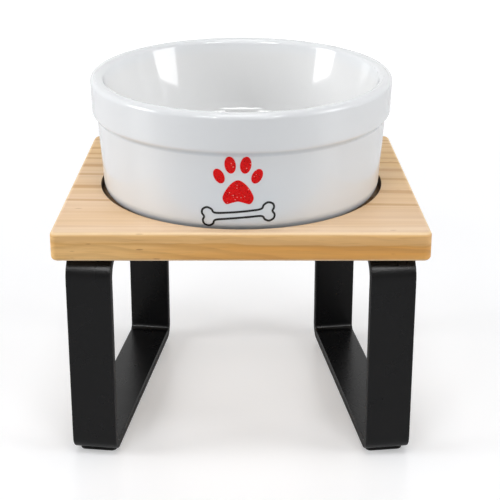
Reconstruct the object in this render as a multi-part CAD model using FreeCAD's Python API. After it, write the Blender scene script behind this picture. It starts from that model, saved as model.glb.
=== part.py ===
import FreeCAD
import Part

import math
import os

# A raised pet bowl. A glazed ceramic bowl stands in a shallow round seat in a wooden board, and
# two loops of bent flat bar, screwed under the board, carry it on rubber pads.
# Sizes are in millimetres and angles in degrees. +Z is up, -Y faces the animal, and the origin is
# on the floor under the middle of the board.

# Ceramic bowl
RIM_DIAMETER = 170.0
RIM_THICKNESS = 6.8
RIM_ROUND_SHARE = 0.45  # of the rim's thickness
BOWL_HEIGHT = 70.0
COLLAR_HEIGHT = 20.0
COLLAR_TAPER = 0.8
COLLAR_STEP = 2.6
COLLAR_SLOPE = 3.0
COLLAR_ROUND = 2.2
BODY_TAPER = 3.2
BASE_WALL_THICKNESS = 16.5
FLOOR_THICKNESS = 7.0
BOTTOM_RADIUS = 10.0
INSIDE_RADIUS = 33.0
FOOT_RING_WIDTH = 4.0
FOOT_RING_HEIGHT = 1.4
FOOT_RING_ROUND = 0.6

# Wooden board, a little narrower at the back, and the bowl's seat in it
BOARD_SIDE_MARGIN = 20.5
BOARD_END_MARGIN = 5.5
BOARD_SIDE_TAPER = 8.0
BOARD_CORNER_RADIUS = 4.0
BOARD_EDGE_RADIUS = 2.4
SEAT_DEPTH = 6.0
SEAT_CLEARANCE = 1.7
SEAT_EDGE_RADIUS = 0.6
SEAT_FLOOR_THICKNESS = 10.5

# Flat-bar legs, which stand closer together at the back than at the front
BAR_WIDTH = 25.0
BAR_THICKNESS = 5.0
BAR_EDGE_RADIUS = 0.8
UPPER_BEND_INSIDE_RADIUS = 9.0
LOWER_BEND_INSIDE_RADIUS = 3.5
LEG_HEIGHT = 118.1
LEG_SIDE_INSET = 6.5
LEG_END_INSET = 4.5
LEG_TOE_IN = 8.0

# Pan-head screws through the upper run of each leg
SCREWS_PER_LEG = 3
SCREW_SHANK_DIAMETER = 4.0
SCREW_BITE = 7.0
SCREW_TIP_LENGTH = 2.0
SCREW_HEAD_DIAMETER = 8.0
SCREW_HEAD_HEIGHT = 2.6
SCREW_HEAD_ROUND_SHARE = 0.7  # of the head's height
SCREW_DRIVE_LENGTH = 4.4
SCREW_DRIVE_WIDTH = 1.0
SCREW_DRIVE_DEPTH = 1.4
SCREW_END_DISTANCE = 24.0
SCREW_HOLE_CLEARANCE = 0.25
PILOT_CLEARANCE = 0.05
PILOT_SPARE_DEPTH = 0.8

# Rubber foot pads under the lower run of each leg
PAD_THICKNESS = 2.4
PAD_LENGTH = 24.0
PAD_END_INSET = 7.0
PAD_SIDE_MARGIN = 2.2
PAD_CORNER_RADIUS = 3.0
PAD_EDGE_RADIUS = 0.4

# How far a cutter runs past the face it cuts, and how near an edge lies to the plane it is found by
CUT_OVERRUN = 1.0
EDGE_TOLERANCE = 0.01
FULL_TURN = 360.0

# Heights of the stack, from the floor up
board_thickness = SEAT_FLOOR_THICKNESS + SEAT_DEPTH
leg_top = PAD_THICKNESS + LEG_HEIGHT
seat_floor = leg_top + SEAT_FLOOR_THICKNESS

# Bowl, from the rim in and down
rim_radius = RIM_DIAMETER / 2
collar_radius = rim_radius - COLLAR_TAPER
body_top_radius = collar_radius - COLLAR_STEP
body_base_radius = body_top_radius - BODY_TAPER
collar_base = BOWL_HEIGHT - COLLAR_HEIGHT
body_top = collar_base - COLLAR_SLOPE

# The seat clears the widest part of the bowl that stands in it, and the board is sized round the seat
seat_radius = body_base_radius + BODY_TAPER * SEAT_DEPTH / body_top + SEAT_CLEARANCE
board_half_width = seat_radius + BOARD_SIDE_MARGIN
board_half_depth = seat_radius + BOARD_END_MARGIN

# Each leg's outer corners keep their distance from the board's edges, whatever the angle it stands at
toe_in = math.radians(LEG_TOE_IN)
leg_reach = board_half_depth - LEG_END_INSET
leg_half_length = (leg_reach - BAR_WIDTH / 2 * math.sin(toe_in)) / math.cos(toe_in)
leg_half_spread = leg_half_length * math.sin(toe_in) + BAR_WIDTH / 2 * math.cos(toe_in)
leg_offset = board_half_width - LEG_SIDE_INSET - leg_half_spread
upper_bend_radius = UPPER_BEND_INSIDE_RADIUS + BAR_THICKNESS
lower_bend_radius = LOWER_BEND_INSIDE_RADIUS + BAR_THICKNESS
screw_reach = leg_half_length - SCREW_END_DISTANCE
pad_reach = leg_half_length - PAD_END_INSET - PAD_LENGTH / 2

LEFT, RIGHT = -1, 1
FRONT, BACK = -1, 1
UP = FreeCAD.Vector(0, 0, 1)
ACROSS = FreeCAD.Vector(1, 0, 0)
ORIGIN = FreeCAD.Vector(0, 0, 0)


def in_plan(u, v):
    """Seen from above: u along X, v along Y."""
    return FreeCAD.Vector(u, v, 0)


def from_side(u, v):
    """Seen from the side: u along Y, v along Z."""
    return FreeCAD.Vector(0, u, v)


def in_section(u, v):
    """Half a section through a turned piece: u out from the axis, v along it."""
    return FreeCAD.Vector(u, 0, v)


def rounded_face(corners, view):
    """A flat face through corners (u, v, rounding), each rounded by an arc tangent to its two sides."""
    points = [in_plan(u, v) for u, v, rounding in corners]
    arcs = []
    for i, (u, v, rounding) in enumerate(corners):
        here = points[i]
        back = (points[i - 1] - here).normalize()
        onward = (points[(i + 1) % len(points)] - here).normalize()
        half_angle = back.getAngle(onward) / 2
        if rounding:
            tangent = rounding / math.tan(half_angle)
            bulge = rounding / math.sin(half_angle) - rounding
            inward = (back + onward).normalize()
            arcs.append([here + back * tangent, here + inward * bulge, here + onward * tangent])
        else:
            arcs.append([here])
    edges = []
    for i, arc in enumerate(arcs):
        if len(arc) > 1:
            edges.append(Part.Arc(*[view(p.x, p.y) for p in arc]).toShape())
        edges.append(Part.makeLine(*[view(p.x, p.y) for p in (arc[-1], arcs[(i + 1) % len(arcs)][0])]))
    return Part.Face(Part.Wire(edges))


def rounded_block(half_u, half_v, middle_v, low_rounding, high_rounding, view):
    """A rectangle centred on u and set middle_v along v, its corners rounded at its low and high ends."""
    low, high = middle_v - half_v, middle_v + half_v
    return rounded_face([
        (-half_u, low, low_rounding),
        (half_u, low, low_rounding),
        (half_u, high, high_rounding),
        (-half_u, high, high_rounding),
    ], view)


def turned(corners):
    """A solid turned about the vertical axis from half of its section."""
    return rounded_face(corners, in_section).revolve(ORIGIN, UP, FULL_TURN)


def edges_in_planes(shape, axis, distances):
    """The edges of a shape that lie in the planes across an axis at the given distances along it."""

    def lies_in(edge, distance):
        return all(abs(axis.dot(point) - distance) < EDGE_TOLERANCE for point in edge.discretize(3))

    return [edge for edge in shape.Edges if any(lies_in(edge, distance) for distance in distances)]


def on_leg(thing, side):
    """Moves a point or a shape from the middle of the board to its place along the left or right leg."""
    place = FreeCAD.Placement(in_plan(side * leg_offset, 0), FreeCAD.Rotation(UP, side * LEG_TOE_IN))
    if isinstance(thing, FreeCAD.Vector):
        return place.multVec(thing)
    return thing.transformed(place.toMatrix())


def screw_spots(side):
    """Where the screws of one leg stand, seen from above, front to back."""
    pitch = 2 * screw_reach / (SCREWS_PER_LEG - 1)
    return [on_leg(in_plan(0, i * pitch - screw_reach), side) for i in range(SCREWS_PER_LEG)]


def bowl():
    """The turned bowl: foot ring, rounded bottom, tapered body, collar, rounded rim and inside."""
    body_lean = math.atan2(BODY_TAPER, body_top)
    foot_radius = body_base_radius - BOTTOM_RADIUS / math.tan((math.pi / 2 + body_lean) / 2)
    foot_inside = foot_radius - FOOT_RING_WIDTH
    floor_top = FOOT_RING_HEIGHT + FLOOR_THICKNESS
    rim_round = RIM_THICKNESS * RIM_ROUND_SHARE
    solid = turned([
        (0, FOOT_RING_HEIGHT, 0),
        (foot_inside - FOOT_RING_HEIGHT, FOOT_RING_HEIGHT, FOOT_RING_ROUND),
        (foot_inside, 0, FOOT_RING_ROUND),
        (body_base_radius, 0, BOTTOM_RADIUS),
        (body_top_radius, body_top, COLLAR_ROUND),
        (collar_radius, collar_base, COLLAR_ROUND),
        (rim_radius, BOWL_HEIGHT, rim_round),
        (rim_radius - RIM_THICKNESS, BOWL_HEIGHT, rim_round),
        (body_base_radius - BASE_WALL_THICKNESS, floor_top, INSIDE_RADIUS),
        (0, floor_top, 0),
    ])
    return solid.translated(UP * seat_floor)


def board():
    """The board with eased edges, the bowl's seat sunk in its top, and pilot holes from below."""
    back_half_width = board_half_width - BOARD_SIDE_TAPER
    outline = rounded_face([
        (-board_half_width, -board_half_depth, BOARD_CORNER_RADIUS),
        (board_half_width, -board_half_depth, BOARD_CORNER_RADIUS),
        (back_half_width, board_half_depth, BOARD_CORNER_RADIUS),
        (-back_half_width, board_half_depth, BOARD_CORNER_RADIUS),
    ], in_plan)
    wood = outline.extrude(UP * board_thickness)
    wood = wood.makeFillet(BOARD_EDGE_RADIUS, edges_in_planes(wood, UP, [0, board_thickness]))
    seat_mouth = seat_radius + 2 * SEAT_EDGE_RADIUS
    seat = turned([
        (0, SEAT_FLOOR_THICKNESS, 0),
        (seat_radius, SEAT_FLOOR_THICKNESS, SEAT_EDGE_RADIUS),
        (seat_radius, board_thickness, SEAT_EDGE_RADIUS),
        (seat_mouth, board_thickness, 0),
        (seat_mouth, board_thickness + CUT_OVERRUN, 0),
        (0, board_thickness + CUT_OVERRUN, 0),
    ])
    wood = wood.cut(seat)
    pilot_radius = SCREW_SHANK_DIAMETER / 2 + PILOT_CLEARANCE
    pilot_depth = SCREW_BITE + PILOT_SPARE_DEPTH
    for spot in screw_spots(LEFT) + screw_spots(RIGHT):
        pilot = Part.makeCylinder(pilot_radius, pilot_depth + CUT_OVERRUN, spot - UP * CUT_OVERRUN)
        wood = wood.cut(pilot)
    return wood.translated(UP * leg_top)


def leg(side):
    """A closed loop of flat bar, bent wider at the top, with eased edges and screw holes in its top run."""
    half_height = LEG_HEIGHT / 2
    middle = PAD_THICKNESS + half_height
    outside = rounded_block(
        leg_half_length, half_height, middle, lower_bend_radius, upper_bend_radius, from_side
    )
    inside = rounded_block(
        leg_half_length - BAR_THICKNESS, half_height - BAR_THICKNESS, middle,
        LOWER_BEND_INSIDE_RADIUS, UPPER_BEND_INSIDE_RADIUS, from_side,
    )
    half_bar = ACROSS * (BAR_WIDTH / 2)
    bar = outside.cut(inside).Faces[0].extrude(half_bar * 2).translated(-half_bar)
    bar = bar.makeFillet(BAR_EDGE_RADIUS, edges_in_planes(bar, ACROSS, [-BAR_WIDTH / 2, BAR_WIDTH / 2]))
    bar = on_leg(bar, side)
    hole_radius = SCREW_SHANK_DIAMETER / 2 + SCREW_HOLE_CLEARANCE
    hole_start = UP * (leg_top - BAR_THICKNESS - CUT_OVERRUN)
    for spot in screw_spots(side):
        bar = bar.cut(Part.makeCylinder(hole_radius, BAR_THICKNESS + 2 * CUT_OVERRUN, spot + hole_start))
    return bar


def screw():
    """A pan-head screw, point up, with the face that its head bears on at height zero."""
    head_radius = SCREW_HEAD_DIAMETER / 2
    shank_radius = SCREW_SHANK_DIAMETER / 2
    length = BAR_THICKNESS + SCREW_BITE
    solid = turned([
        (0, -SCREW_HEAD_HEIGHT, 0),
        (head_radius, -SCREW_HEAD_HEIGHT, SCREW_HEAD_HEIGHT * SCREW_HEAD_ROUND_SHARE),
        (head_radius, 0, 0),
        (shank_radius, 0, 0),
        (shank_radius, length - SCREW_TIP_LENGTH, 0),
        (0, length, 0),
    ])
    long_side, short_side = SCREW_DRIVE_LENGTH, SCREW_DRIVE_WIDTH
    drive_depth = SCREW_DRIVE_DEPTH + CUT_OVERRUN
    for size_x, size_y in ((long_side, short_side), (short_side, long_side)):
        corner = FreeCAD.Vector(-size_x / 2, -size_y / 2, -SCREW_HEAD_HEIGHT - CUT_OVERRUN)
        solid = solid.cut(Part.makeBox(size_x, size_y, drive_depth, corner))
    return solid


def leg_screws(side):
    """The screws of one leg, driven up through its upper run into the board."""
    bearing_face = UP * (leg_top - BAR_THICKNESS)
    return Part.makeCompound([screw().translated(spot + bearing_face) for spot in screw_spots(side)])


def foot_pad(side, end):
    """A rubber pad under a leg's lower run, whose end reaches just under its front or back bend."""
    half_width = BAR_WIDTH / 2 - PAD_SIDE_MARGIN
    pad = rounded_block(
        half_width, PAD_LENGTH / 2, end * pad_reach, PAD_CORNER_RADIUS, PAD_CORNER_RADIUS, in_plan
    )
    pad = pad.extrude(UP * PAD_THICKNESS)
    pad = pad.makeFillet(PAD_EDGE_RADIUS, edges_in_planes(pad, UP, [0]))
    return on_leg(pad, side)


pieces = {"bowl": bowl(), "board": board()}
for side_name, side in (("left", LEFT), ("right", RIGHT)):
    pieces[f"{side_name}_leg"] = leg(side)
    pieces[f"{side_name}_leg_screws"] = leg_screws(side)
    for end_name, end in (("front", FRONT), ("back", BACK)):
        pieces[f"{end_name}_{side_name}_foot_pad"] = foot_pad(side, end)

os.makedirs("parts", exist_ok=True)
for name, shape in pieces.items():
    shape.exportStep(f"parts/{name}.step")
    print(f"{name}: {len(shape.Solids)} solids, valid {shape.isValid()}, {shape.Volume:.0f} mm3")
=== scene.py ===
import math

import bpy
from mathutils import Euler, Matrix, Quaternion, Vector
from mathutils.bvhtree import BVHTree


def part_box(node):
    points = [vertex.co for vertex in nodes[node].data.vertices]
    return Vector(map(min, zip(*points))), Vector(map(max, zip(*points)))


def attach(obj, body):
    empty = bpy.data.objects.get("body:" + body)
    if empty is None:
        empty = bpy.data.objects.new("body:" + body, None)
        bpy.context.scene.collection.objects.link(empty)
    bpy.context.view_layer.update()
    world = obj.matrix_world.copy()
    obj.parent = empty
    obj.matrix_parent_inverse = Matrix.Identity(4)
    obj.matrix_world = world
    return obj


# A raised pet bowl: a glazed bowl with a printed front, seated in a pale pine board on two loops of
# black coated flat bar. Lengths are in metres, angles in degrees and colours in linear RGBA.
# -Y is the front and +Z is up.

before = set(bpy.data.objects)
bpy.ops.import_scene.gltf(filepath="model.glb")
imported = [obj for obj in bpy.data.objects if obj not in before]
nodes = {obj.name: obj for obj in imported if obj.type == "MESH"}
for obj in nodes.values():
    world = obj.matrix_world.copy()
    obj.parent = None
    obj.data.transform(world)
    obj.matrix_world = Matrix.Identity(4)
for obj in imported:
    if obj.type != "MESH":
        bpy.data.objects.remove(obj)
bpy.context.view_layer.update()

MM = 0.001
WHITE = (1.0, 1.0, 1.0, 1.0)
ACROSS = (1.0, 0.0, 0.0)
UP = (0.0, 0.0, 1.0)
IN_PLAN = (1.0, 1.0, 0.0)
EVEN = (1.0, 1.0, 1.0)

# Camera, at the height and distance of someone who stands close in front of the bowl
CAMERA_PLACE = (0.00284, -0.79944, 0.4131)
CAMERA_PITCH = 21.35
CAMERA_LENS = 105.0
CAMERA_SHIFT = (0.0076, -0.0242)

# Studio: a softbox overhead and one on each side, two lamps high in front, and in front three cards
# that are seen only in reflections
AIM = Vector((0.0, 0.0, 0.14))
SOFTBOXES = {
    "overhead_softbox": {"place": (0.0, -0.52, 2.45), "size": (1.00, 1.40), "watts": 21.0},
    "front_left_lamp": {"place": (-1.05, -2.05, 1.98), "size": (0.60, 0.24), "watts": 5.5},
    "front_right_lamp": {"place": (1.05, -2.05, 1.98), "size": (0.60, 0.24), "watts": 4.6},
    "front_strip": {"place": (0.0, -2.05, 1.26), "size": (1.60, 0.12), "watts": 7.0, "card": True},
    "front_left_card": {"place": (-1.02, -2.00, 1.76), "size": (0.60, 0.50), "watts": 12.0, "card": True},
    "front_right_card": {"place": (1.02, -2.00, 1.76), "size": (0.60, 0.50), "watts": 12.0, "card": True},
    "left_softbox": {"place": (-2.47, -0.45, 0.96), "size": (1.02, 1.08), "watts": 35.0, "roll": -24.0},
    "right_softbox": {"place": (2.31, -0.78, 0.96), "size": (1.00, 1.08), "watts": 23.0, "roll": 24.0},
}

# Room: how bright it is, and how much of that is left in front, as light and as seen in gloss
ROOM_LEVEL = 0.32
ROOM_FRONT_LEVEL = 0.06
ROOM_FRONT_SHEEN = 0.50
ROOM_DIMMEST = -0.85
ROOM_BRIGHTEST = 0.1

# Floor: its glow near the object and far from it, and how much of that glow gloss shows
FLOOR_HALF_SIZE = 12.0
FLOOR_COLOUR = (0.762, 0.768, 0.785, 1.0)
FLOOR_GLOW = 0.31
FLOOR_FAR_GLOW = 0.74
FLOOR_GLOSS_SHARE = 0.35
FLOOR_GLOW_START = 0.30
FLOOR_GLOW_FULL = 1.60


def new_group(name, inputs, outputs):
    """An empty shader node group with its sockets: (label, kind, start value) in, (label, kind) out."""
    tree = bpy.data.node_groups.new(name, "ShaderNodeTree")
    for label, kind, start in inputs:
        socket = tree.interface.new_socket(label, in_out="INPUT", socket_type="NodeSocket" + kind)
        socket.default_value = start
    for label, kind in outputs:
        tree.interface.new_socket(label, in_out="OUTPUT", socket_type="NodeSocket" + kind)
    return tree, tree.nodes.new("NodeGroupInput").outputs, tree.nodes.new("NodeGroupOutput").inputs


def put(tree, kind, inputs=None, **settings):
    """A node with its settings and its inputs set: a socket is linked, anything else is a value."""
    node = tree.nodes.new("ShaderNode" + kind)
    for name, value in settings.items():
        setattr(node, name, value)
    for key, value in (inputs or {}).items():
        if isinstance(value, bpy.types.NodeSocket):
            tree.links.new(value, node.inputs[key])
        else:
            node.inputs[key].default_value = value
    return node


def math_node(tree, operation, *values, clamp=False):
    return put(tree, "Math", dict(enumerate(values)), operation=operation, use_clamp=clamp).outputs[0]


def vector_node(tree, operation, *values, output="Vector"):
    return put(tree, "VectorMath", dict(enumerate(values)), operation=operation).outputs[output]


def ramp(tree, value, low, high, to_low=0.0, to_high=1.0):
    """A smooth step from one value to another."""
    inputs = {"Value": value, "From Min": low, "From Max": high, "To Min": to_low, "To Max": to_high}
    return put(tree, "MapRange", inputs, interpolation_type="SMOOTHSTEP").outputs["Result"]


# The Mix node keeps sockets for every kind: 0 is the share, 2 and 3 are values, 6 and 7 are colours
def between(tree, share, first, second):
    """Two values mixed."""
    return put(tree, "Mix", {0: share, 2: first, 3: second}, data_type="FLOAT").outputs[0]


def blend(tree, share, first, second):
    """Two colours mixed."""
    return put(tree, "Mix", {0: share, 6: first, 7: second}, data_type="RGBA").outputs[2]


def stain(tree, under, colour, mask, most):
    """A colour laid over another where a mask says, at most by a share."""
    return blend(tree, math_node(tree, "MULTIPLY", mask, most), under, colour)


def place_group(tree, group, inputs=None):
    return put(tree, "Group", inputs, node_tree=group).outputs


def on_object(tree):
    return put(tree, "TexCoord").outputs["Object"]


def facing(tree):
    return put(tree, "NewGeometry").outputs["Normal"]


def parts_of(tree, vector):
    return put(tree, "SeparateXYZ", {"Vector": vector}).outputs


def size_along(tree, vector, axis):
    """How far a vector points along an axis, either way."""
    return math_node(tree, "ABSOLUTE", vector_node(tree, "DOT_PRODUCT", vector, axis, output="Value"))


def length_of(tree, vector):
    return vector_node(tree, "LENGTH", vector, output="Value")


def from_axis(tree):
    """Distance from the bowl's upright axis."""
    return length_of(tree, vector_node(tree, "MULTIPLY", on_object(tree), IN_PLAN))


def make_mottle_group():
    """Soft uneven patches, stretched as asked, between a low and a high value."""
    tree, given, out = new_group(
        "uneven_patches",
        [
            ("Stretch", "Vector", EVEN),
            ("Scale", "Float", 50.0),
            ("Detail", "Float", 3.0),
            ("Low", "Float", 0.0),
            ("High", "Float", 1.0),
        ],
        [("Value", "Float")],
    )
    spot = vector_node(tree, "MULTIPLY", on_object(tree), given["Stretch"])
    noise = put(tree, "TexNoise", {"Vector": spot, "Scale": given["Scale"], "Detail": given["Detail"]})
    least, most = 0.25, 0.75
    value = ramp(tree, noise.outputs["Fac"], least, most, given["Low"], given["High"])
    tree.links.new(value, out["Value"])
    return tree


def make_edge_group():
    """Where the surface turns over an eased edge, between the faces along an axis and those across it."""
    tree, given, out = new_group(
        "eased_edges",
        [("Axis", "Vector", UP), ("Start", "Float", 0.2), ("Full", "Float", 0.6)],
        [("Mask", "Float")],
    )
    normal = facing(tree)
    along = size_along(tree, normal, given["Axis"])
    across = length_of(tree, vector_node(tree, "CROSS_PRODUCT", normal, given["Axis"]))
    both = math_node(tree, "MINIMUM", along, across)
    tree.links.new(ramp(tree, both, given["Start"], given["Full"]), out["Mask"])
    return tree


def make_fleck_group():
    """Small scattered flecks: a share of the cells of a pattern, each with a spot in its middle."""
    tree, given, out = new_group(
        "scattered_flecks",
        [
            ("Stretch", "Vector", EVEN),
            ("Scale", "Float", 200.0),
            ("Share", "Float", 0.1),
            ("Radius", "Float", 0.2),
        ],
        [("Mask", "Float")],
    )
    spot = vector_node(tree, "MULTIPLY", on_object(tree), given["Stretch"])
    cells = put(tree, "TexVoronoi", {"Vector": spot, "Scale": given["Scale"], "Randomness": 1.0})
    picked = put(tree, "SeparateColor", {"Color": cells.outputs["Color"]}).outputs["Red"]
    chosen = math_node(tree, "LESS_THAN", picked, given["Share"])
    solid_share = 0.5
    inner = math_node(tree, "MULTIPLY", given["Radius"], solid_share)
    near = ramp(tree, cells.outputs["Distance"], inner, given["Radius"], 1.0, 0.0)
    tree.links.new(math_node(tree, "MULTIPLY", chosen, near), out["Mask"])
    return tree


# Growth rings: the grain's slow and quick unevenness, and how the years differ from each other
SLOW_GRAIN = (11.0, 14.0, 26.0)
QUICK_GRAIN = (24.0, 90.0, 90.0)
RIPPLE = 1.2 * MM
YEARS_DRIFT_RATE = 0.45
YEARS_DRIFT = 1.3
EARLIER_BAND = -0.16
BAND_END = 0.95
FAINTEST_BAND = 0.50


def make_growth_ring_group():
    """Growth rings about a pith that runs along X, leaning a little, below and in front of the board.
    The outer rings are half as wide, and each year's dark band has its own width and strength."""
    tree, given, out = new_group(
        "growth_rings",
        [
            ("Pith", "Vector", (0.0, -0.312, -0.08)),
            ("Lean", "Float", 0.05),
            ("Ring Width", "Float", 0.0165),
            ("Outer Rings", "Float", 0.402),
            ("Waver", "Float", 0.003),
            ("Band Start", "Float", 0.77),
            ("Band Softness", "Float", 0.07),
        ],
        [("Late Wood", "Float")],
    )
    here = on_object(tree)

    def unevenness(stretch, detail, depth):
        spot = vector_node(tree, "MULTIPLY", here, stretch)
        noise = put(tree, "TexNoise", {"Vector": spot, "Scale": 1.0, "Detail": detail}).outputs["Fac"]
        return math_node(tree, "MULTIPLY", math_node(tree, "SUBTRACT", noise, 0.5), depth)

    waver = unevenness(SLOW_GRAIN, 2.0, given["Waver"])
    ripple = unevenness(QUICK_GRAIN, 3.0, RIPPLE)
    from_pith = parts_of(tree, vector_node(tree, "SUBTRACT", here, given["Pith"]))
    back = math_node(tree, "MULTIPLY_ADD", from_pith["X"], given["Lean"], from_pith["Y"])
    across = put(tree, "CombineXYZ", {"Y": back, "Z": from_pith["Z"]}).outputs["Vector"]
    radius = math_node(tree, "ADD", math_node(tree, "ADD", length_of(tree, across), waver), ripple)
    outer = math_node(tree, "MAXIMUM", math_node(tree, "SUBTRACT", radius, given["Outer Rings"]), 0.0)
    turns = math_node(tree, "DIVIDE", math_node(tree, "ADD", radius, outer), given["Ring Width"])
    drift = put(
        tree, "TexNoise", {"W": turns, "Scale": YEARS_DRIFT_RATE, "Detail": 1.0}, noise_dimensions="1D",
    ).outputs["Fac"]
    turns = math_node(tree, "MULTIPLY_ADD", drift, YEARS_DRIFT, turns)
    year = math_node(tree, "FLOOR", turns)
    season = math_node(tree, "FRACT", turns)
    tone = put(tree, "TexWhiteNoise", {"W": year}, noise_dimensions="1D").outputs["Value"]
    start = math_node(tree, "MULTIPLY_ADD", tone, EARLIER_BAND, given["Band Start"])
    rise = ramp(tree, season, start, math_node(tree, "ADD", start, given["Band Softness"]))
    fall = ramp(tree, season, BAND_END, 1.0, 1.0, 0.0)
    strength = math_node(tree, "MULTIPLY_ADD", tone, 1.0 - FAINTEST_BAND, FAINTEST_BAND)
    late = math_node(tree, "MULTIPLY", math_node(tree, "MULTIPLY", rise, fall), strength)
    tree.links.new(late, out["Late Wood"])
    return tree


MOTTLE = make_mottle_group()
EDGE = make_edge_group()
FLECK = make_fleck_group()
RINGS = make_growth_ring_group()


def new_material(name, values):
    """A material with a Principled shader, and the values that are the same all over set on it."""
    material = bpy.data.materials.new(name)
    material.use_nodes = True
    tree = material.node_tree
    shader = next(n for n in tree.nodes if n.type == "BSDF_PRINCIPLED")
    for key, value in values.items():
        shader.inputs[key].default_value = value
    return material, tree, shader.inputs


def patches(tree, scale=1.0, low=0.0, high=1.0, stretch=EVEN, detail=3.0):
    values = {"Stretch": stretch, "Scale": scale, "Low": low, "High": high, "Detail": detail}
    return place_group(tree, MOTTLE, values)["Value"]


def flecks(tree, scale, share, radius, stretch=EVEN):
    values = {"Stretch": stretch, "Scale": scale, "Share": share, "Radius": radius}
    return place_group(tree, FLECK, values)["Mask"]


def edges(tree, start, full, axis=UP):
    return place_group(tree, EDGE, {"Axis": axis, "Start": start, "Full": full})["Mask"]


def bump(tree, height, depth, under=None):
    inputs = {"Height": height, "Distance": depth, "Strength": 1.0}
    if under is not None:
        inputs["Normal"] = under
    return put(tree, "Bump", inputs).outputs["Normal"]


# White glaze: the heights at which it changes, its colours, and the bare foot ring's
GROOVE_HEIGHT = 0.1787
# How far from the groove's middle the pooled glaze and its painted shade reach
GROOVE_POOL_AND_SHADE = (0.4 * MM, 2.0 * MM)
FOOT_RING_TOP = 0.1316
FOOT_RING_BLUR = 0.2 * MM
BODY_FOOT = 0.137
WALL_MIDDLE = 0.0765
GLAZE_IOR = 1.5
GLAZE_CLEAR = (0.842, 0.846, 0.848, 1)
GLAZE_CLOUDED = (0.818, 0.823, 0.827, 1)
GLAZE_THICK = (0.805, 0.858, 0.912, 1)
GLAZE_THICK_AT_GROOVE = 0.32
# Pooled glaze in the groove under the collar, darkened further as painted shade in that crease
GLAZE_POOLED_AND_SHADED = (0.55, 0.62, 0.68, 1)
GLAZE_SPECK = (0.42, 0.40, 0.38, 1)
BISCUIT_PALE = (0.74, 0.69, 0.61, 1)
BISCUIT_DARK = (0.66, 0.61, 0.53, 1)
BISCUIT_ROUGHER = 0.68


def make_white_glaze():
    """Gloss white glaze, cooler where it is thick low on the outside, pooled and darkened with painted shade
    in the groove under the collar, with a few specks and a bare biscuit foot ring."""
    material, tree, shader = new_material("white_glaze", {"IOR": GLAZE_IOR})
    height = parts_of(tree, on_object(tree))["Z"]
    outside = ramp(tree, from_axis(tree), WALL_MIDDLE - MM, WALL_MIDDLE + MM)
    white = blend(tree, patches(tree, scale=28.0, high=0.5), GLAZE_CLEAR, GLAZE_CLOUDED)
    low_down = ramp(tree, height, BODY_FOOT, GROOVE_HEIGHT, 1.0, GLAZE_THICK_AT_GROOVE)
    thick = math_node(tree, "MULTIPLY", low_down, outside)
    white = stain(tree, white, GLAZE_THICK, thick, most=0.9)
    # Painted shade, with pooled glaze, in the groove under the collar
    off_groove = math_node(tree, "ABSOLUTE", math_node(tree, "SUBTRACT", height, GROOVE_HEIGHT))
    in_groove = ramp(tree, off_groove, *GROOVE_POOL_AND_SHADE, 1.0, 0.0)
    pooled_and_shaded = math_node(tree, "MULTIPLY", in_groove, outside)
    white = stain(tree, white, GLAZE_POOLED_AND_SHADED, pooled_and_shaded, most=0.55)
    specks = flecks(tree, scale=190.0, share=0.012, radius=0.07)
    white = stain(tree, white, GLAZE_SPECK, specks, most=0.45)
    bare = ramp(tree, height, FOOT_RING_TOP - FOOT_RING_BLUR, FOOT_RING_TOP + FOOT_RING_BLUR, 1.0, 0.0)
    biscuit = blend(tree, patches(tree, scale=400.0), BISCUIT_PALE, BISCUIT_DARK)
    tree.links.new(blend(tree, bare, white, biscuit), shader["Base Color"])
    gloss = patches(tree, scale=35.0, low=0.05, high=0.09)
    tree.links.new(math_node(tree, "MULTIPLY_ADD", bare, BISCUIT_ROUGHER, gloss), shader["Roughness"])
    ripple = bump(tree, patches(tree, scale=62.0, detail=1.0), depth=0.012 * MM)
    grit = math_node(tree, "MULTIPLY", patches(tree, scale=1800.0), bare)
    tree.links.new(bump(tree, grit, depth=0.03 * MM, under=ripple), shader["Normal"])
    return material


# Pine top: where it turns from pale to banded and to heartwood, and its colours
# A painted highlight of the lacquer in a strip along the front of the top: where it lies and how strong it
# is
FRONT_HIGHLIGHT_STRIP = (-0.080, -0.071)
FRONT_HIGHLIGHT_SHARE = 0.40
PALE_GRAIN_EDGE = -0.058
BANDED_GRAIN_EDGE = -0.040
PALE_GRAIN_BANDS = 0.18
HEART_EDGES = (-0.06, 0.08)
HEART_LEAN = 0.25
HEART_SHARE = 0.75
TOP_PALE = (0.88, 0.63, 0.41, 1)
TOP_GOLD = (0.82, 0.55, 0.29, 1)
TOP_HEART = (0.755, 0.465, 0.140, 1)
TOP_BAND = (0.56, 0.265, 0.055, 1)
# The colour of the painted highlight along the front of the top
TOP_FRONT_HIGHLIGHT = (0.97, 0.78, 0.60, 1)

# Pine sides: pale to the left and warm to the right, with paler wood above a leaning line in the grain
SIDE_WARMING = (-0.095, 0.02)
SIDE_LINE_HEIGHT = 0.1303
SIDE_LINE_LEAN = 0.0055
SIDE_LINE_WAVER = 1.0 * MM
SIDE_LINE_HALF_WIDTH = (0.2 * MM, 0.9 * MM)
SIDE_UPPER_BLUR = 0.8 * MM
SIDE_RINGS = {"Ring Width": 0.0042, "Waver": 0.020, "Band Start": 0.54, "Band Softness": 0.40}
SIDE_PALE = ((0.945, 0.605, 0.24, 1), (0.86, 0.468, 0.122, 1))
SIDE_WARM = ((0.91, 0.525, 0.17, 1), (0.81, 0.385, 0.07, 1))
SIDE_FLAME = (0.53, 0.23, 0.045, 1)
SIDE_UPPER = (0.90, 0.605, 0.28, 1)
SIDE_LINE = (0.62, 0.31, 0.075, 1)
SIDE_STREAK = (0.56, 0.27, 0.06, 1)
STREAK_CUT = (0.70, 0.95)
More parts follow.
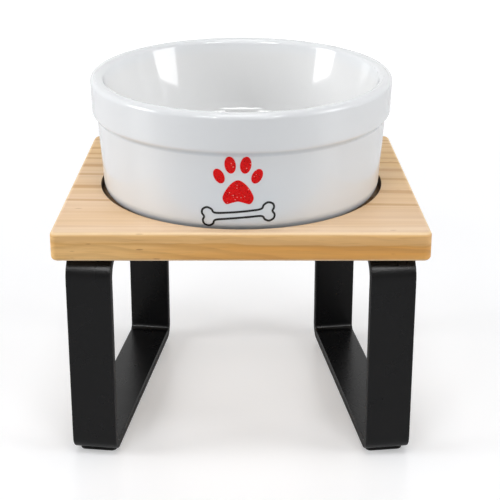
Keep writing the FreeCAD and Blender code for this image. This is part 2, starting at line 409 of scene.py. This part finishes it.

# Pine all over, its eased edges, which carry a painted highlight that is stronger the higher they are, and
# the routed seat, whose wall and floor corner carry painted shade
FACES_SIDEWAYS = (0.25, 0.85)
FACES_UP = (0.5, 0.9)
STANDS_UPRIGHT = (0.85, 0.98)
LACQUER_WEIGHT = 0.2
LACQUER = {"IOR": 1.5, "Coat Weight": LACQUER_WEIGHT, "Coat Roughness": 0.25}
FIBRE_DARK = (0.49, 0.235, 0.065, 1)
FIBRE_SHARE = 0.24
FIBRE_MORE_ON_SIDES = 0.06
RESIN_FLECK = (0.36, 0.13, 0.030, 1)
# The eased edges' painted highlight: the heights over which it grows, its share there, and its colour
EASED_HEIGHTS = (0.122, 0.134)
EASED_HIGHLIGHT_SHARES = (0.25, 0.58)
EASED_HIGHLIGHT = (0.98, 0.73, 0.39, 1)
SEAT_RADIUS = 0.0803
SEAT_EDGE = (SEAT_RADIUS + 0.4 * MM, SEAT_RADIUS + 0.9 * MM)
# Where the painted shade lies in the corner of the seat floor
SEAT_CORNER_SHADE_SPAN = (SEAT_RADIUS - 4.5 * MM, SEAT_RADIUS - 1.0 * MM)
SEAT_FLOOR_TO = (0.1325, 0.1335)
# Darker end grain on the seat wall, deepened with painted shade, and painted shade in the corner of the seat
# floor
SEAT_WALL_GRAIN_AND_SHADE = (0.040, 0.016, 0.006, 1)
SEAT_CORNER_SHADE = (0.075, 0.030, 0.010, 1)
BARE_ROUGHER = 0.5


def make_pine():
    """Pale lacquered pine: pale along the front of the top and banded behind, flame grain and a warmer tone
    on the sides, fine fibres and short resin flecks, with painted highlights along the front of the top and
    on the eased edges. The routed seat is bare, with painted shade on darker end grain on its wall and
    painted shade in the corner of its floor."""
    material, tree, shader = new_material("pine", LACQUER)
    place = parts_of(tree, on_object(tree))
    up = parts_of(tree, facing(tree))["Z"]
    level = math_node(tree, "ABSOLUTE", up)
    side = ramp(tree, level, *FACES_SIDEWAYS, 1.0, 0.0)

    top = blend(tree, patches(tree, stretch=(4.0, 34.0, 34.0)), TOP_PALE, TOP_GOLD)
    leaning = math_node(tree, "MULTIPLY_ADD", place["X"], HEART_LEAN, place["Y"])
    top = blend(tree, ramp(tree, leaning, *HEART_EDGES, 0.0, HEART_SHARE), top, TOP_HEART)
    banded = ramp(tree, place["Y"], PALE_GRAIN_EDGE, BANDED_GRAIN_EDGE, PALE_GRAIN_BANDS, 1.0)
    top = stain(tree, top, TOP_BAND, place_group(tree, RINGS)["Late Wood"], banded)
    # Painted highlight in a strip along the front of the top
    top = blend(tree, ramp(tree, place["Y"], *FRONT_HIGHLIGHT_STRIP, FRONT_HIGHLIGHT_SHARE, 0.0), top, TOP_FRONT_HIGHLIGHT)

    flame = patches(tree, stretch=(9.0, 40.0, 110.0))
    pale, warm = (blend(tree, flame, *colours) for colours in (SIDE_PALE, SIDE_WARM))
    sides = blend(tree, ramp(tree, place["X"], *SIDE_WARMING), pale, warm)
    flames = place_group(tree, RINGS, SIDE_RINGS)["Late Wood"]
    sides = stain(tree, sides, SIDE_FLAME, flames, most=0.34)
    waver = patches(tree, low=-SIDE_LINE_WAVER, high=SIDE_LINE_WAVER, stretch=(24.0, 14.0, 3.0))
    height = math_node(tree, "MULTIPLY_ADD", place["X"], SIDE_LINE_LEAN, place["Z"])
    over_line = math_node(tree, "SUBTRACT", math_node(tree, "ADD", height, waver), SIDE_LINE_HEIGHT)
    sides = stain(tree, sides, SIDE_UPPER, ramp(tree, over_line, 0.0, SIDE_UPPER_BLUR), most=0.5)
    on_line = ramp(tree, math_node(tree, "ABSOLUTE", over_line), *SIDE_LINE_HALF_WIDTH, 1.0, 0.0)
    sides = stain(tree, sides, SIDE_LINE, on_line, most=0.35)
    streaks = ramp(tree, patches(tree, stretch=(45.0, 45.0, 900.0)), *STREAK_CUT)
    sides = stain(tree, sides, SIDE_STREAK, streaks, most=0.3)

    wood = blend(tree, side, top, sides)
    fibre = patches(tree, stretch=(7.0, 420.0, 420.0), detail=4.0)
    fibre_share = math_node(tree, "MULTIPLY_ADD", side, FIBRE_MORE_ON_SIDES, FIBRE_SHARE)
    wood = stain(tree, wood, FIBRE_DARK, fibre, fibre_share)
    resin = flecks(tree, scale=560.0, share=0.030, radius=0.30, stretch=(0.20, 1.0, 1.0))
    wood = stain(tree, wood, RESIN_FLECK, resin, most=0.6)
    # Painted highlight on the eased edges, stronger the higher they are
    highlight_share = ramp(tree, place["Z"], *EASED_HEIGHTS, *EASED_HIGHLIGHT_SHARES)
    wood = stain(tree, wood, EASED_HIGHLIGHT, edges(tree, start=0.30, full=0.68), highlight_share)

    out = from_axis(tree)
    in_seat = ramp(tree, out, *SEAT_EDGE, 1.0, 0.0)
    wall = math_node(tree, "MULTIPLY", in_seat, ramp(tree, level, *STANDS_UPRIGHT, 1.0, 0.0))
    # Painted shade on darker end grain on the seat wall
    wood = stain(tree, wood, SEAT_WALL_GRAIN_AND_SHADE, wall, most=0.95)
    floor = math_node(tree, "MULTIPLY", ramp(tree, place["Z"], *SEAT_FLOOR_TO, 1.0, 0.0), in_seat)
    floor = math_node(tree, "MULTIPLY", floor, ramp(tree, up, *FACES_UP))
    # Painted shade in the corner of the seat floor
    corner_shade = math_node(tree, "MULTIPLY", ramp(tree, out, *SEAT_CORNER_SHADE_SPAN), floor)
    wood = stain(tree, wood, SEAT_CORNER_SHADE, corner_shade, most=0.85)
    tree.links.new(wood, shader["Base Color"])
    bare = math_node(tree, "MAXIMUM", wall, corner_shade)
    rough = patches(tree, low=0.36, high=0.50, stretch=(8.0, 60.0, 60.0))
    tree.links.new(math_node(tree, "MULTIPLY_ADD", bare, BARE_ROUGHER, rough), shader["Roughness"])
    lacquer = math_node(tree, "MULTIPLY_ADD", bare, -LACQUER_WEIGHT, LACQUER_WEIGHT)
    tree.links.new(lacquer, shader["Coat Weight"])
    tree.links.new(bump(tree, fibre, depth=0.03 * MM), shader["Normal"])
    return material


# Black coat: how much smoother it is on eased edges and rougher on the sheared faces between them
EASED_SMOOTHER = -0.06
SHEARED_ROUGHER = 0.28
SHEARED_FACING = (0.80, 0.95)
ROUGHNESS_SPREAD = 0.02
CLOUD_LIGHTER = 1.5


def make_black_coat(name, axis, colour, wear_and_edge_highlight, roughness, peel_scale, peel_depth):
    """Black coating with a fine orange peel, a little lighter and smoother on the eased edges, lighter
    partly from wear and partly as a painted edge highlight, and rougher on the faces that an axis points out
    of."""
    material, tree, shader = new_material(name, {"Specular IOR Level": 0.2})
    eased = edges(tree, start=0.24, full=0.7, axis=axis)
    lighter = tuple(CLOUD_LIGHTER * c for c in colour[:3]) + (1,)
    black = blend(tree, patches(tree, scale=45.0, high=0.5), colour, lighter)
    # Eased edges lighter, partly from wear and partly as a painted edge highlight
    tree.links.new(stain(tree, black, wear_and_edge_highlight, eased, most=0.6), shader["Base Color"])
    rough = patches(tree, scale=60.0, low=roughness - ROUGHNESS_SPREAD, high=roughness + ROUGHNESS_SPREAD)
    rough = math_node(tree, "MULTIPLY_ADD", eased, EASED_SMOOTHER, rough)
    sheared = ramp(tree, size_along(tree, facing(tree), axis), *SHEARED_FACING)
    rough = math_node(tree, "MULTIPLY_ADD", sheared, SHEARED_ROUGHER, rough)
    tree.links.new(rough, shader["Roughness"])
    tree.links.new(bump(tree, patches(tree, scale=peel_scale, detail=2.0), peel_depth), shader["Normal"])
    return material


RUBBER_DARK = (0.010, 0.010, 0.010, 1)
RUBBER_PALE = (0.017, 0.017, 0.016, 1)


def make_foot_rubber():
    """Matt black rubber, faintly mottled and pitted."""
    material, tree, shader = new_material("foot_rubber", {"Specular IOR Level": 0.25})
    tree.links.new(blend(tree, patches(tree, scale=300.0), RUBBER_DARK, RUBBER_PALE), shader["Base Color"])
    tree.links.new(patches(tree, scale=500.0, low=0.72, high=0.88), shader["Roughness"])
    pits = flecks(tree, scale=1400.0, share=0.4, radius=0.4)
    tree.links.new(bump(tree, pits, depth=-0.04 * MM), shader["Normal"])
    return material


GLITTER_DEEP = (0.72, 0.0015, 0.002, 1)
GLITTER_BRIGHT = (0.92, 0.004, 0.005, 1)
GLITTER_SHADED = (0.13, 0.002, 0.004, 1)
GLITTER_SPARKLE = (0.90, 0.55, 0.48, 1)
SMOOTHEST_FLAKE = 0.22
ROUGHER_FLAKES = 0.3


def make_glitter_red():
    """Red glitter film: small flakes of uneven red, a few pale and a few dark, each tilted its own way."""
    material, tree, shader = new_material("glitter_red", {"Specular IOR Level": 0.15})
    cells = put(tree, "TexVoronoi", {"Vector": on_object(tree), "Scale": 1700.0})
    flake = put(tree, "SeparateColor", {"Color": cells.outputs["Color"]}).outputs
    red = blend(tree, flake["Red"], GLITTER_DEEP, GLITTER_BRIGHT)
    dark = flecks(tree, scale=1150.0, share=0.15, radius=0.42)
    red = stain(tree, red, GLITTER_SHADED, dark, most=0.7)
    pale = flecks(tree, scale=1000.0, share=0.13, radius=0.40, stretch=(1.0, 1.0, 1.13))
    tree.links.new(stain(tree, red, GLITTER_SPARKLE, pale, most=0.75), shader["Base Color"])
    rough = math_node(tree, "MULTIPLY_ADD", flake["Green"], ROUGHER_FLAKES, SMOOTHEST_FLAKE)
    tree.links.new(rough, shader["Roughness"])
    tree.links.new(bump(tree, flake["Blue"], depth=0.05 * MM), shader["Normal"])
    return material


INK_DARK = (0.006, 0.006, 0.007, 1)
INK_THIN = (0.016, 0.016, 0.017, 1)


def make_print_black():
    """Black print ink, slightly uneven."""
    material, tree, shader = new_material("print_black", {"Specular IOR Level": 0.4})
    tree.links.new(blend(tree, patches(tree, scale=260.0), INK_DARK, INK_THIN), shader["Base Color"])
    tree.links.new(patches(tree, scale=420.0, low=0.28, high=0.42), shader["Roughness"])
    return material


def dress(names, material):
    """Gives CAD nodes their finish."""
    for name in names:
        for slot in nodes[name].material_slots:
            slot.material = material


LEGS = ("left_leg", "right_leg")
dress(["bowl"], make_white_glaze())
dress(["board"], make_pine())
dress(LEGS, make_black_coat(
    "black_bar", ACROSS, colour=(0.0030, 0.0030, 0.0033, 1), wear_and_edge_highlight=(0.020, 0.020, 0.021, 1),
    roughness=0.28, peel_scale=850.0, peel_depth=0.018 * MM,
))
dress([leg + "_screws" for leg in LEGS], make_black_coat(
    "black_screw", UP, colour=(0.012, 0.012, 0.013, 1), wear_and_edge_highlight=(0.06, 0.06, 0.062, 1),
    roughness=0.34, peel_scale=1500.0, peel_depth=0.01 * MM,
))
dress([name for name in nodes if name.endswith("foot_pad")], make_foot_rubber())


# Printed motif on the bowl's front: a glitter paw above a bone drawn in line. It is drawn flat, in
# millimetres about its middle, and then laid on the bowl.
PRINT_MIDDLE = (-0.0015, 0.1598)
PRINT_PROUD = 0.14 * MM
PRINT_SUNK = 0.08 * MM
PRINT_SURFACE = BVHTree.FromObject(nodes["bowl"], bpy.context.evaluated_depsgraph_get())
PRINT_RADIUS = max(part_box("bowl")[1].x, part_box("bowl")[1].y)
FILM_RINGS = 6
PAW_SHARE = 1.06
PAW_MIDDLE = Vector((0.0, 5.0))
PAD_OUTLINE = [
    (0.0, -0.4), (3.7, -2.4), (6.9, -6.6), (8.2, -10.4), (6.3, -13.2), (3.0, -12.5),
    (0.0, -11.8), (-3.0, -12.5), (-6.3, -13.2), (-8.2, -10.4), (-6.9, -6.6), (-3.7, -2.4),
]
PAD_CENTRE = (0.0, -7.6)
PAD_STEPS = 6
TOES = [
    {"centre": (-4.0, 7.6), "radii": (2.9, 4.5), "lean": 8.0},
    {"centre": (4.0, 7.6), "radii": (2.9, 4.5), "lean": -8.0},
    {"centre": (-9.9, 1.6), "radii": (2.7, 4.1), "lean": 27.0},
    {"centre": (9.9, 1.6), "radii": (2.7, 4.1), "lean": -27.0},
]
TOE_STEPS = 40
BONE_MIDDLE = Vector((0.0, -15.2))
BONE_LEAN = 5.0
BONE_LINE_WIDTH = 1.15
BONE_QUARTER = [(6.5, 1.75), (13.2, 2.1), (14.9, 4.2), (17.4, 5.3), (20.0, 4.2), (20.6, 2.0)]
BONE_NOTCH = (19.6, 0.0)
BONE_STEPS = 8


def smooth_loop(points, steps):
    """A closed smooth line through points."""
    loop = []
    for i in range(len(points)):
        a, b, c, d = (Vector(points[(i + k) % len(points)]) for k in (-1, 0, 1, 2))
        for s in range(steps):
            t = s / steps
            loop.append(0.5 * (2 * b + (c - a) * t + (2 * a - 5 * b + 4 * c - d) * t ** 2
                               + (3 * b - a - 3 * c + d) * t ** 3))
    return loop


def turned(x, y, degrees):
    """A flat point turned about the middle."""
    cos, sin = math.cos(math.radians(degrees)), math.sin(math.radians(degrees))
    return Vector((x * cos - y * sin, x * sin + y * cos))


def on_bowl(u, v, proud):
    """A point of the flat print, in millimetres, laid on the bowl's outside and raised by proud."""
    middle_x, middle_z = PRINT_MIDDLE
    turn = (u * MM + middle_x) / PRINT_RADIUS
    height = v * MM + middle_z
    outward = Vector((math.sin(turn), -math.cos(turn), 0.0))
    start = outward * 2 * PRINT_RADIUS + Vector((0, 0, height))
    hit = PRINT_SURFACE.ray_cast(start, -outward)[0]
    return hit + outward * proud


def add_piece(name, vertices, faces, material):
    mesh = bpy.data.meshes.new(name)
    mesh.from_pydata(vertices, [], faces)
    mesh.materials.append(material)
    mesh.validate()
    piece = bpy.data.objects.new(name, mesh)
    bpy.context.scene.collection.objects.link(piece)
    return piece


def film(outline, centre):
    """A thin closed film in the shape of an outline, laid on the bowl: its vertices and faces."""
    vertices, faces = [], []
    count = len(outline)
    for proud in (PRINT_PROUD, -PRINT_SUNK):
        vertices.append(on_bowl(*centre, proud))
        for ring in range(1, FILM_RINGS + 1):
            for point in outline:
                vertices.append(on_bowl(*(centre + (point - centre) * ring / FILM_RINGS), proud))
    under = 1 + FILM_RINGS * count
    rim = 1 + (FILM_RINGS - 1) * count
    for i in range(count):
        j = (i + 1) % count
        faces.append((0, 1 + i, 1 + j))
        faces.append((under, under + 1 + j, under + 1 + i))
        for ring in range(FILM_RINGS - 1):
            a, b = 1 + ring * count, 1 + (ring + 1) * count
            faces.append((a + i, b + i, b + j, a + j))
            faces.append((under + a + i, under + a + j, under + b + j, under + b + i))
        faces.append((rim + i, under + rim + i, under + rim + j, rim + j))
    return vertices, faces


def line(path, width):
    """A thin closed line drawn along a loop, laid on the bowl: its vertices and faces."""
    vertices, faces = [], []
    count = len(path)
    for i, point in enumerate(path):
        along = path[(i + 1) % count] - path[i - 1]
        out = Vector((along.y, -along.x)).normalized() * width / 2
        for place, proud in (
            (point + out, -PRINT_SUNK), (point + out, PRINT_PROUD),
            (point - out, PRINT_PROUD), (point - out, -PRINT_SUNK),
        ):
            vertices.append(on_bowl(*place, proud))
    for i in range(count):
        a, b = 4 * i, 4 * ((i + 1) % count)
        for k in range(4):
            m = (k + 1) % 4
            faces.append((a + k, a + m, b + m, b + k))
    return vertices, faces


def make_paw():
    shapes = [(smooth_loop(PAD_OUTLINE, PAD_STEPS), Vector(PAD_CENTRE))]
    for toe in TOES:
        across, up = toe["radii"]
        centre = Vector(toe["centre"])
        angles = [2 * math.pi * i / TOE_STEPS for i in range(TOE_STEPS)]
        outline = [turned(across * math.cos(a), up * math.sin(a), toe["lean"]) + centre for a in angles]
        shapes.append((outline, centre))
    vertices, faces = [], []
    for outline, centre in shapes:
        outline = [point * PAW_SHARE + PAW_MIDDLE for point in outline]
        more, sides = film(outline, centre * PAW_SHARE + PAW_MIDDLE)
        faces += [tuple(k + len(vertices) for k in side) for side in sides]
        vertices += more
    return add_piece("paw_print", vertices, faces, make_glitter_red())


def make_bone():
    quarter = [Vector(p) for p in BONE_QUARTER]
    half = quarter + [Vector(BONE_NOTCH)] + [Vector((p.x, -p.y)) for p in reversed(quarter)]
    loop = smooth_loop(half + [-p for p in half], BONE_STEPS)
    path = [turned(*point, BONE_LEAN) + BONE_MIDDLE for point in loop]
    return add_piece("bone_print", *line(path, BONE_LINE_WIDTH), make_print_black())


for printed in (make_paw(), make_bone()):
    for face in printed.data.polygons:
        face.use_smooth = False
    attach(printed, "bowl")


# Stage
def seen_directly(tree):
    """How much of the floor's glow a ray shows: all of it from the camera or through glass, a share off
    gloss, and none as light."""
    rays = put(tree, "LightPath").outputs
    seen = math_node(tree, "MAXIMUM", rays["Is Camera Ray"], rays["Is Transmission Ray"])
    return math_node(tree, "MULTIPLY_ADD", rays["Is Glossy Ray"], FLOOR_GLOSS_SHARE, seen, clamp=True)


def make_floor():
    """A white sweep with a slight gloss, which keeps the object's shadow and is clear from below."""
    size = FLOOR_HALF_SIZE
    corners = [(-size, -size, 0), (size, -size, 0), (size, size, 0), (-size, size, 0)]
    material, tree, shader = new_material("floor_white", {
        "Base Color": FLOOR_COLOUR, "Roughness": 0.3, "Specular IOR Level": 0.35, "Emission Color": WHITE,
    })
    away = length_of(tree, on_object(tree))
    glow = ramp(tree, away, FLOOR_GLOW_START, FLOOR_GLOW_FULL, FLOOR_GLOW, FLOOR_FAR_GLOW)
    tree.links.new(math_node(tree, "MULTIPLY", seen_directly(tree), glow), shader["Emission Strength"])
    below = put(tree, "NewGeometry").outputs["Backfacing"]
    tree.links.new(math_node(tree, "SUBTRACT", 1.0, below), shader["Alpha"])
    floor = add_piece("floor", corners, [(0, 1, 2, 3)], material)


def make_room():
    """A pale room, dimmer in front, that lights the object evenly and shows brighter in gloss. It is white
    where the camera sees it."""
    world = bpy.data.worlds.new("pale_room")
    bpy.context.scene.world = world
    world.use_nodes = True
    tree = world.node_tree
    tree.nodes.clear()
    back = parts_of(tree, put(tree, "TexCoord").outputs["Generated"])["Y"]
    level = ramp(tree, back, ROOM_DIMMEST, ROOM_BRIGHTEST, ROOM_FRONT_LEVEL, 1.0)
    light = math_node(tree, "MULTIPLY", level, ROOM_LEVEL)
    sheen = ramp(tree, back, ROOM_DIMMEST, ROOM_BRIGHTEST, ROOM_FRONT_SHEEN, 1.0)
    rays = put(tree, "LightPath").outputs
    shiny = math_node(tree, "MAXIMUM", rays["Is Glossy Ray"], rays["Is Transmission Ray"])
    strength = between(tree, rays["Is Camera Ray"], between(tree, shiny, light, sheen), 1.0)
    backdrop = put(tree, "Background", {"Color": WHITE, "Strength": strength}).outputs[0]
    put(tree, "OutputWorld", {"Surface": backdrop})


def make_softboxes():
    for name, box in SOFTBOXES.items():
        lamp = bpy.data.lights.new(name, "AREA")
        lamp.shape = "RECTANGLE"
        lamp.size, lamp.size_y = box["size"]
        lamp.energy = box["watts"]
        holder = bpy.data.objects.new(name, lamp)
        holder.location = box["place"]
        aim = (AIM - Vector(box["place"])).to_track_quat("-Z", "Y")
        roll = Quaternion(UP, math.radians(box.get("roll", 0.0)))
        holder.rotation_euler = (aim @ roll).to_euler()
        holder.visible_diffuse = not box.get("card", False)
        bpy.context.scene.collection.objects.link(holder)


def make_camera():
    lens = bpy.data.cameras.new("camera")
    lens.lens = CAMERA_LENS
    lens.shift_x, lens.shift_y = CAMERA_SHIFT
    camera = bpy.data.objects.new("camera", lens)
    camera.location = CAMERA_PLACE
    camera.rotation_euler = Euler((math.radians(90 - CAMERA_PITCH), 0, 0))
    bpy.context.scene.collection.objects.link(camera)
    bpy.context.scene.camera = camera


make_floor()
make_room()
make_softboxes()
make_camera()
bpy.context.scene.view_settings.view_transform = "Standard"
